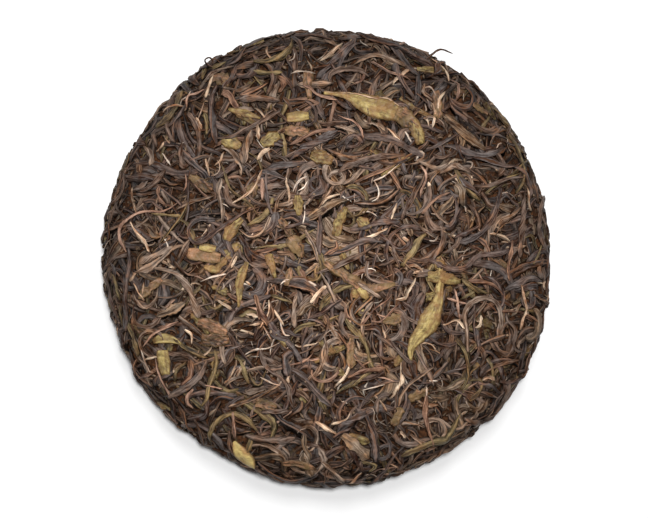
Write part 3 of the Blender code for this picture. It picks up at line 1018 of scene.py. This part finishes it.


def leaf_points(batch):
    """Points, fold heights, grain places and cleanness of a batch of laid leaves, in the flat bed."""
    sides = 3 * batch.kind.pleats
    own = FULL_TURN * np.arange(sides) / sides
    fold = np.tile(FOLD_SIZES, batch.kind.pleats)
    angle = own[None, None, :] + batch.turn[..., None]
    size = 1.0 + batch.ridges[:, None, None] * fold + batch.crinkle
    aside = batch.half_width[..., None] * np.cos(angle) * size
    rise = batch.half_height[..., None] * np.sin(angle) * size
    across = across_of(batch.path)
    points = np.empty(aside.shape + (3,))
    points[..., :2] = batch.path[:, :, None, :] + across[:, :, None, :] * aside[..., None]
    points[..., 2] = batch.lift[..., None] + rise
    along = batch.grain_start[:, None] + np.linspace(0.0, 1.0, batch.rings) * batch.length[:, None]
    grain = np.empty_like(points)
    grain[..., 0] = along[..., None]
    grain[..., 1] = batch.grain_radius[:, None, None] * np.cos(own)
    grain[..., 2] = batch.grain_radius[:, None, None] * np.sin(own)
    # painted shade: the sides and underside of each leaf darker than its top, as if lit from above
    painted_side_shade = SHADED_UNDERSIDE + (1.0 - SHADED_UNDERSIDE) * np.clip(0.5 + 0.9 * np.sin(angle), 0.0, 1.0)
    return points, batch.crease[:, None, None] * np.broadcast_to(fold, aside.shape), grain, painted_side_shade


def leaf_object(name, batches, bed, section, shape):
    """One mesh of all the leaves of some batches, pressed and wrapped over the cake."""
    parts = []
    start = 0
    for batch in batches:
        points, fold, grain, worn = leaf_points(batch)
        for side in (FACE, BACK):
            here = batch.side == side
            flat = pressed(bed, shape, side, points[here])
            flat[..., 2] += batch.raised[here][:, None, None]
            # painted light and shade of the pressed place, over the painted shade of the leaf's sides and underside
            worn[here] *= painted_light_and_shade(flat)
            points[here] = wrap(section, shape, side, flat)
        corners, sizes = tube_faces(*fold.shape)
        fade = np.linspace(-1.0, 1.0, batch.rings) * batch.kind.fade * np.cos(9.0 * batch.grain_start)[:, None]
        tone = np.broadcast_to((batch.tone[:, None] + fade)[..., None], fold.shape)
        values = (tone.ravel(), fold.ravel(), worn.ravel())
        parts.append((points.reshape(-1, 3), corners + start, sizes, *values, grain.reshape(-1, 3)))
        start += fold.size
    points, corners, sizes, tone, fold, worn, grain = [np.concatenate(part) for part in zip(*parts)]
    return mesh_object(name, points, corners, sizes, {"tone": tone, "fold": fold, "worn": worn, "grain": grain})


def grid_faces(number, rows, columns):
    """Corners and sizes of the faces of many thin sheets: an upper grid, a lower grid and the edge between them."""
    count = rows * columns
    row = np.arange(rows - 1)[:, None] * columns
    column = np.arange(columns - 1)[None, :]
    upper = np.stack(
        [row + column, row + column + 1, row + columns + column + 1, row + columns + column], axis=-1
    ).reshape(-1, 4)
    lower = upper[:, ::-1] + count
    edge = np.concatenate(
        [
            np.arange(columns),
            np.arange(1, rows) * columns + columns - 1,
            (rows - 1) * columns + np.arange(columns - 2, -1, -1),
            np.arange(rows - 2, 0, -1) * columns,
        ]
    )
    after = np.roll(edge, -1)
    border = np.stack([edge, edge + count, after + count, after], axis=-1)
    one = np.concatenate([upper, lower, border]).ravel()
    corners = (np.arange(number)[:, None] * 2 * count + one[None, :]).ravel()
    return corners, np.full(number * len(one) // 4, 4)


FRESH_TONE = 0.3  # how far above 1 the tone of a leaf is before it looks fresher, lighter than the painted light and shade leave it


def open_leaf_object(name, batches, bed, section, shape):
    """One mesh of all the open leaves of some batches, pressed and wrapped over the cake."""
    parts = []
    start = 0
    for batch in batches:
        number, rows, columns = batch.lift.shape
        spots = np.stack([batch.places(one) for one in range(number)])
        points = np.empty((number, 2, rows, columns, 3))
        points[..., :2] = spots[:, None]
        points[:, 0, ..., 2] = batch.lift
        points[:, 1, ..., 2] = batch.lift - batch.kind.thickness
        worn = np.empty(points.shape[:-1])
        rough = np.abs(batch.crumple) + batch.kind.pleat * batch.pleats
        for side in (FACE, BACK):
            here = batch.side == side
            flat = pressed(bed, shape, side, points[here])
            flat[..., 2] += OPEN_LEAF_LIFT + rough[here][:, None]
            # painted light and shade of the pressed place, times the lighter own colour of fresh leaves
            fresh = np.maximum(1.0, batch.tone[here] - FRESH_TONE)[:, None, None, None]
            worn[here] = painted_light_and_shade(flat) * fresh
            points[here] = wrap(section, shape, side, flat)
        corners, sizes = grid_faces(number, rows, columns)
        along = np.linspace(0.0, 1.0, rows)[None, :, None] * batch.length[:, None, None]
        aside = batch.half_width[..., None] * COLUMNS
        grain = np.empty((number, rows, columns, 3))
        grain[..., 0] = batch.grain_start[:, None, None] + along
        grain[..., 1] = aside
        grain[..., 2] = along - 0.8 * np.abs(aside)
        grain = np.stack([grain, grain], axis=1)
        # fold: the darker edge, and painted shade in the valleys between the creases
        valley = np.clip(1.0 - 4.0 * batch.pleats, 0.0, 1.0)
        fold = np.broadcast_to((np.abs(COLUMNS) ** 5 + 0.7 * valley)[:, None], points.shape[:-1])
        tone = np.broadcast_to(batch.tone[:, None, None, None], fold.shape)
        values = (tone.ravel(), fold.ravel(), worn.ravel())
        parts.append((points.reshape(-1, 3), corners + start, sizes, *values, grain.reshape(-1, 3)))
        start += fold.size
    points, corners, sizes, tone, fold, worn, grain = [np.concatenate(part) for part in zip(*parts)]
    return mesh_object(name, points, corners, sizes, {"tone": tone, "fold": fold, "worn": worn, "grain": grain})


# --- Materials ----------------------------------------------------------------------------------------------------


class Nodes:
    """Makes and joins the nodes of one material."""

    def __init__(self, name):
        self.material = bpy.data.materials.new(name)
        self.material.use_nodes = True
        self.tree = self.material.node_tree
        self.shader = self.tree.nodes["Principled BSDF"]

    def add(self, label, **settings):
        node = self.tree.nodes.new(label)
        for key, value in settings.items():
            setattr(node, key, value)
        return node

    def join(self, source, target):
        self.tree.links.new(source, target)

    def math(self, operation, *values, clamp=False):
        """A maths node of sockets and numbers."""
        node = self.add("ShaderNodeMath", operation=operation, use_clamp=clamp)
        for place, value in enumerate(values):
            if isinstance(value, (int, float)):
                node.inputs[place].default_value = value
            else:
                self.join(value, node.inputs[place])
        return node.outputs[0]

    def noise(self, where, scale, detail):
        node = self.add("ShaderNodeTexNoise")
        node.inputs["Scale"].default_value = scale
        node.inputs["Detail"].default_value = detail
        self.join(where, node.inputs["Vector"])
        return node.outputs["Fac"]

    def stretched(self, value, low, high):
        """A value brought from between low and high to between 0 and 1."""
        node = self.add("ShaderNodeMapRange")
        node.inputs["From Min"].default_value = low
        node.inputs["From Max"].default_value = high
        self.join(value, node.inputs["Value"])
        return node.outputs["Result"]

    def mixed(self, first, second, share):
        node = self.add("ShaderNodeMix", data_type="RGBA")
        for value, socket in ((first, node.inputs["A"]), (second, node.inputs["B"])):
            if isinstance(value, bpy.types.NodeSocket):
                self.join(value, socket)
            else:
                socket.default_value = (*value, 1.0)
        self.join(share, node.inputs["Factor"])
        return node.outputs["Result"]


    def scaled(self, vector, *factors):
        """A colour made lighter or darker by one factor after another."""
        for factor in factors:
            node = self.add("ShaderNodeVectorMath", operation="SCALE")
            self.join(vector, node.inputs[0])
            self.join(factor, node.inputs["Scale"])
            vector = node.outputs[0]
        return vector

    def attribute(self, name, output="Fac"):
        return self.add("ShaderNodeAttribute", attribute_name=name).outputs[output]

    def spread_out(self, vector, factors):
        """Coordinates stretched by a factor along each axis."""
        node = self.add("ShaderNodeVectorMath", operation="MULTIPLY")
        node.inputs[1].default_value = factors
        self.join(vector, node.inputs[0])
        return node.outputs[0]

    def finish(self, tint, roughness, sheen, height, depth):
        """Joins the colour, the roughness and the bump to the shader."""
        self.join(tint, self.shader.inputs["Base Color"])
        self.join(roughness, self.shader.inputs["Roughness"])
        self.shader.inputs["Specular IOR Level"].default_value = sheen
        bump = self.add("ShaderNodeBump")
        bump.inputs["Strength"].default_value = 1.0
        bump.inputs["Distance"].default_value = depth
        self.join(height, bump.inputs["Height"])
        self.join(bump.outputs[0], self.shader.inputs["Normal"])
        return self.material


def leaf_material(name, kind):
    """Twisted leaf: its own tone for each leaf, streaked along its fibres, mottled, dark in its folds, rusty on
    its ridges."""
    nodes = Nodes(name)
    tone = nodes.attribute("tone")
    fold = nodes.attribute("fold")
    grain = nodes.attribute("grain", "Vector")
    where = nodes.add("ShaderNodeTexCoord").outputs["Object"]
    fibre = nodes.noise(nodes.spread_out(grain, (190.0, 1750.0, 1750.0)), 1.0, 3.0)
    crumple = nodes.noise(grain, 1100.0, 2.0)
    streak = nodes.stretched(fibre, 0.40, 0.62)
    patch = nodes.stretched(nodes.noise(where, 330.0, 2.0), 0.36, 0.64)
    stain = nodes.stretched(nodes.noise(where, 150.0, 2.0), 0.50, 0.66)

    own = nodes.math("MULTIPLY_ADD", tone, 0.44, -0.27)
    own = nodes.math("MULTIPLY_ADD", streak, 0.70, own)
    own = nodes.math("MULTIPLY_ADD", patch, 0.34, own, clamp=True)
    tint = nodes.mixed(tuple(kind.dark), tuple(kind.light), own)
    rusty = nodes.math("SINE", nodes.math("MULTIPLY", tone, 17.0))
    ridge = nodes.math("MULTIPLY", nodes.math("MULTIPLY_ADD", rusty, 0.9, 0.4), fold, clamp=True)
    redder = nodes.math("MULTIPLY", nodes.math("SINE", nodes.math("MULTIPLY", tone, 41.0)), 0.50, clamp=True)
    stained = nodes.math("MULTIPLY", nodes.math("MAXIMUM", stain, redder), streak)
    stained = nodes.math("MULTIPLY", stained, 0.62)
    tint = nodes.mixed(tint, tuple(kind.accent), nodes.math("MAXIMUM", stained, ridge))
    # painted shade darkens the fold valleys and a painted highlight lightens the ridges
    shade = nodes.math("MULTIPLY_ADD", fold, 0.62, 1.08)
    # the painted light and shade that the mesh carries
    tint = nodes.scaled(tint, shade, nodes.attribute("worn"))
    roughness = nodes.math("MULTIPLY_ADD", streak, -0.16, kind.roughness + 0.02)
    return nodes.finish(tint, roughness, kind.sheen, nodes.math("ADD", fibre, crumple), 0.45 * MM)


def open_leaf_material(name, kind):
    """Open leaf: smooth, patched with another colour, with a light midrib, faint side veins and a darker edge."""
    nodes = Nodes(name)
    tone = nodes.attribute("tone")
    fold = nodes.attribute("fold")
    grain = nodes.attribute("grain", "Vector")
    where = nodes.add("ShaderNodeTexCoord").outputs["Object"]
    apart = nodes.add("ShaderNodeSeparateXYZ")
    nodes.join(grain, apart.inputs[0])
    waves = nodes.math("SINE", nodes.math("MULTIPLY", apart.outputs["Z"], FULL_TURN / (2.1 * MM)))
    vein = nodes.stretched(waves, 0.72, 1.0)
    fibre = nodes.noise(nodes.spread_out(grain, (300.0, 1400.0, 300.0)), 1.0, 3.0)
    mottle = nodes.stretched(nodes.noise(where, 420.0, 2.0), 0.36, 0.64)
    patch = nodes.stretched(nodes.noise(where, 150.0, 3.0), 0.47, 0.60)

    own = nodes.math("MULTIPLY_ADD", tone, 0.70, -0.38)
    own = nodes.math("MULTIPLY_ADD", mottle, 0.44, own)
    own = nodes.math("MULTIPLY_ADD", nodes.stretched(fibre, 0.38, 0.62), 0.56, own, clamp=True)
    tint = nodes.mixed(tuple(kind.dark), tuple(kind.light), own)
    tint = nodes.mixed(tint, tuple(kind.accent), nodes.math("MULTIPLY", patch, 0.75))
    # browner towards the edge, and in the crease valleys as painted shade
    browned = nodes.math("MULTIPLY", nodes.stretched(fold, 0.25, 1.0), 0.60)
    tint = nodes.mixed(tint, tuple(kind.accent), browned)
    lighter = nodes.math("MULTIPLY_ADD", vein, 0.18, 1.05)
    # the edge darker, the veins lighter, and painted shade in the crease valleys
    shade = nodes.math("MULTIPLY_ADD", fold, -0.40, lighter)
    # the painted light and shade that the mesh carries
    tint = nodes.scaled(tint, shade, nodes.attribute("worn"))
    roughness = nodes.math("MULTIPLY_ADD", mottle, -0.12, kind.roughness + 0.02)
    height = nodes.math("MULTIPLY_ADD", vein, 0.5, nodes.math("ADD", fibre, mottle))
    return nodes.finish(tint, roughness, kind.sheen, height, 0.25 * MM)


def core_material(core_colour):
    """Packed leaf dust and broken leaf, mottled in browns."""
    nodes = Nodes("core")
    where = nodes.add("ShaderNodeTexCoord").outputs["Object"]
    grains = nodes.noise(where, 900.0, 3.0)
    patch = nodes.stretched(nodes.noise(where, 260.0, 2.0), 0.38, 0.62)
    light = tuple(2.6 * part for part in core_colour)
    tint = nodes.mixed(tuple(core_colour), light, nodes.stretched(grains, 0.42, 0.66))
    tint = nodes.scaled(tint, nodes.math("MULTIPLY_ADD", patch, 0.7, 0.65))
    roughness = nodes.math("MULTIPLY_ADD", grains, 0.2, 0.7)
    return nodes.finish(tint, roughness, 0.1, grains, 0.8 * MM)


# --- Operators ----------------------------------------------------------------------------------------------------


class Lay:
    """What the operators share: the section, the bed and the leaves laid in it."""

    section = None
    bed = None
    batches = {}
    open_batches = {}


def settings():
    return bpy.context.scene.tea_cake


def add_piece(piece, material):
    piece.data.materials.append(material)
    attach(piece, BODY)
    return piece


BARELY_SHOWN = 0.06
HALF_SHOWN = 0.40


class TEACAKE_OT_lay_leaves(bpy.types.Operator):
    """Lay all the leaves in their flat beds, lowest places first"""

    bl_idname = "teacake.lay_leaves"
    bl_label = "Lay Leaves"

    def execute(self, context):
        shape = settings().shape
        rng = np.random.default_rng(shape.seed)
        Lay.section = Section(shape)
        Lay.bed = Bed(Lay.section)
        chosen = {name: getattr(settings(), name) for name in (*KINDS, *OPEN_KINDS)}
        drawn = {name: draw_leaves(chosen[name], rng) for name in KINDS}
        open_drawn = {name: [draw_open_leaves(chosen[name], rng)] for name in OPEN_KINDS}
        noted = noted_batches(Lay.section, View(settings().camera_distance), chosen, rng)
        everything = [batch for batches in (*drawn.values(), *open_drawn.values()) for batch in batches]
        lay_all(everything, [leaf for _, leaf in noted], Lay.bed, rng, Lay.section.rim)
        Lay.bed.settle_level(7.0 * MM)
        Lay.batches = {}
        for name, batches in drawn.items():
            kept = []
            for batch in batches:
                batch.see(Lay.bed, shape, 0.25 * MM)
                step = 1 + (batch.rings > 3) * (batch.rings % 2)
                full = (batch.shown >= HALF_SHOWN) & (batch.side == FACE)
                kept.append(batch.picked(full))
                kept.append(batch.picked((batch.shown >= BARELY_SHOWN) & ~full, step))
            kept += [leaf for label, leaf in noted if label == name]
            Lay.batches[name] = [batch for batch in kept if len(batch.tone)]
            print("laid", name, [len(batch.tone) for batch in kept])
        for name, batches in open_drawn.items():
            for batch in batches:
                batch.see(Lay.bed, shape, 0.25 * MM)
            kept = [batch.picked(batch.shown >= BARELY_SHOWN) for batch in batches]
            Lay.open_batches[name] = kept + [leaf for label, leaf in noted if label == name]
        return {"FINISHED"}


class TEACAKE_OT_strands(bpy.types.Operator):
    """Mesh the twisted leaves, buds, stalks and wisps that were laid"""

    bl_idname = "teacake.strands"
    bl_label = "Twisted Leaves"

    def execute(self, context):
        for name, batches in Lay.batches.items():
            piece = leaf_object(name, batches, Lay.bed, Lay.section, settings().shape)
            add_piece(piece, leaf_material(name, getattr(settings(), name)))
        return {"FINISHED"}


class TEACAKE_OT_open_leaves(bpy.types.Operator):
    """Mesh the open leaves that were laid"""

    bl_idname = "teacake.open_leaves"
    bl_label = "Open Leaves"

    def execute(self, context):
        for name, batches in Lay.open_batches.items():
            piece = open_leaf_object(name, batches, Lay.bed, Lay.section, settings().shape)
            add_piece(piece, open_leaf_material(name, getattr(settings(), name)))
        return {"FINISHED"}


STRAY_TWIGS = (  # (width, places it passes through), in millimetres, standing out of the rim
    (1.1, ((39.5, 84.5, 17.5), (44.4, 87.6, 18.5), (48.9, 90.4, 19.5), (54.2, 88.6, 18.5))),
    (0.9, ((-47.5, 82.0, 16.5), (-51.4, 83.6, 17.5), (-52.7, 85.8, 18.5), (-50.8, 86.9, 19.0), (-49.2, 85.4, 18.5),
           (-50.6, 83.9, 17.8))),
    (0.9, ((-45.0, 83.5, 16.5), (-47.8, 86.2, 18.0), (-50.0, 86.0, 18.2))),
    (1.0, ((-36.2, 86.5, 16.0), (-37.8, 90.6, 16.5), (-36.8, 92.4, 17.0))),
    (1.4, ((49.0, -77.5, 15.0), (54.5, -79.6, 14.0), (57.6, -78.4, 14.0))),
    (1.2, ((53.0, -74.5, 15.0), (57.0, -77.0, 14.0), (59.4, -76.2, 14.0))),
)


class TEACAKE_OT_stray_twigs(bpy.types.Operator):
    """Make the few thin dark twigs that stand out of the rim"""

    bl_idname = "teacake.stray_twigs"
    bl_label = "Stray Twigs"

    def execute(self, context):
        rng = np.random.default_rng(settings().shape.seed + 2)
        kind = settings().stalks
        view = View(settings().camera_distance)
        parts = []
        start = 0
        for width, places in STRAY_TWIGS:
            path, travel = smooth_curve(np.array(places) * MM, 4 * len(places))
            path[:, :2] = view.seen_at(path[:, :2] * NOTED_UNIT / MM + NOTED_FROM, path[:, 2])
            twig = scaled_leaf(kind, width, path[:, :2], travel, 0.1, rng)
            twig.lift[0] = path[:, 2]
            points, fold, grain, painted_side_shade = leaf_points(twig)
            corners, sizes = tube_faces(*fold.shape)
            # painted shade on the twigs' sides and underside, and a darker tone overall
            values = (np.full(fold.size, 0.1), fold.ravel(), 0.8 * painted_side_shade.ravel())
            parts.append((points.reshape(-1, 3), corners + start, sizes, *values, grain.reshape(-1, 3)))
            start += fold.size
        points, corners, sizes, tone, fold, worn, grain = [np.concatenate(part) for part in zip(*parts)]
        values = {"tone": tone, "fold": fold, "worn": worn, "grain": grain}
        twigs = mesh_object("stray_twigs", points, corners, sizes, values)
        add_piece(twigs, leaf_material("stray_twigs", settings().dark_leaves))
        return {"FINISHED"}


class TEACAKE_OT_core(bpy.types.Operator):
    """Make the packed core under the separate leaves"""

    bl_idname = "teacake.core"
    bl_label = "Core"

    def execute(self, context):
        shape = settings().shape
        section = Lay.section
        spokes, rows = 180, 140
        rng = np.random.default_rng(shape.seed + 1)
        travel = np.linspace(0.0, section.total, rows)
        radius, level, out, up = [part[:, None] for part in section.at(travel)]
        depth = shape.bed_depth + shape.core_relief * rng.normal(0.0, 1.0, (rows, spokes)).clip(-1.5, 1.5)
        depth[[0, -1]] = shape.bed_depth
        radius = np.maximum(radius - out * depth, 0.0)
        level = level - up * depth
        turn = np.linspace(0.0, FULL_TURN, spokes, endpoint=False)[None, :]
        points = np.stack([radius * np.cos(turn), radius * np.sin(turn), level], axis=-1)
        points = points[:, ::-1]
        corners, sizes = tube_faces(1, rows, spokes)
        core = mesh_object("core", points.reshape(-1, 3), corners, sizes, {})
        add_piece(core, core_material(settings().core_colour))
        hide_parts(SOLID)
        return {"FINISHED"}


LIGHTS = (  # (name, place, size, share of the power)
    ("overhead", (-0.12, 0.22, 1.60), 0.30, 0.62),
    ("soft", (-0.05, 0.95, 1.45), 0.80, 0.42),
)


class TEACAKE_OT_stage(bpy.types.Operator):
    """Set out the floor, the lights and the camera"""

    bl_idname = "teacake.stage"
    bl_label = "Stage"

    def execute(self, context):
        scene = context.scene
        bpy.ops.mesh.primitive_plane_add(size=6.0, location=(0.0, 0.0, 0.0))
        floor = context.active_object
        floor.name = "floor"
        material = bpy.data.materials.new("floor")
        material.use_nodes = True
        shader = material.node_tree.nodes["Principled BSDF"]
        shader.inputs["Base Color"].default_value = (*settings().floor_colour, 1.0)
        shader.inputs["Roughness"].default_value = 0.9
        floor.data.materials.append(material)

        world = bpy.data.worlds.new("studio")
        world.use_nodes = True
        background = world.node_tree.nodes["Background"]
        background.inputs["Color"].default_value = (1.0, 1.0, 1.0, 1.0)
        background.inputs["Strength"].default_value = settings().fill
        scene.world = world

        for name, place, size, part in LIGHTS:
            light = bpy.data.lights.new(name, "AREA")
            light.shape = "DISK"
            light.size = size
            light.energy = settings().key_power * part
            lamp = bpy.data.objects.new(name, light)
            lamp.location = place
            lamp.rotation_mode = "QUATERNION"
            lamp.rotation_quaternion = (-Vector(place)).to_track_quat("-Z", "Y")
            scene.collection.objects.link(lamp)

        lens = bpy.data.cameras.new("camera")
        lens.lens = 90.0
        lens.sensor_width = 36.0
        camera = bpy.data.objects.new("camera", lens)
        view = View(settings().camera_distance)
        camera.location = view.camera
        camera.rotation_mode = "QUATERNION"
        camera.rotation_quaternion = Matrix((view.right, view.up, view.back)).transposed().to_quaternion()
        scene.collection.objects.link(camera)
        scene.camera = camera
        scene.view_settings.view_transform = "Standard"
        return {"FINISHED"}


class TEACAKE_PT_panel(bpy.types.Panel):
    """Buttons for each part of the tea cake"""

    bl_idname = "TEACAKE_PT_panel"
    bl_label = "Tea Cake"
    bl_space_type = "VIEW_3D"
    bl_region_type = "UI"
    bl_category = "Tea Cake"

    def draw(self, context):
        for operator in OPERATORS:
            self.layout.operator(operator.bl_idname)


OPERATORS = (
    TEACAKE_OT_lay_leaves,
    TEACAKE_OT_strands,
    TEACAKE_OT_open_leaves,
    TEACAKE_OT_stray_twigs,
    TEACAKE_OT_core,
    TEACAKE_OT_stage,
)
CLASSES = (TEACAKE_PG_shape, *KINDS.values(), *OPEN_KINDS.values(), TEACAKE_PG_settings, *OPERATORS, TEACAKE_PT_panel)


def register():
    for item in CLASSES:
        bpy.utils.register_class(item)
    bpy.types.Scene.tea_cake = PointerProperty(type=TEACAKE_PG_settings)


def unregister():
    del bpy.types.Scene.tea_cake
    for item in reversed(CLASSES):
        bpy.utils.unregister_class(item)


def main():
    register()
    bpy.ops.teacake.lay_leaves()
    bpy.ops.teacake.strands()
    bpy.ops.teacake.open_leaves()
    bpy.ops.teacake.stray_twigs()
    bpy.ops.teacake.core()
    bpy.ops.teacake.stage()


if __name__ == "__main__":
    main()
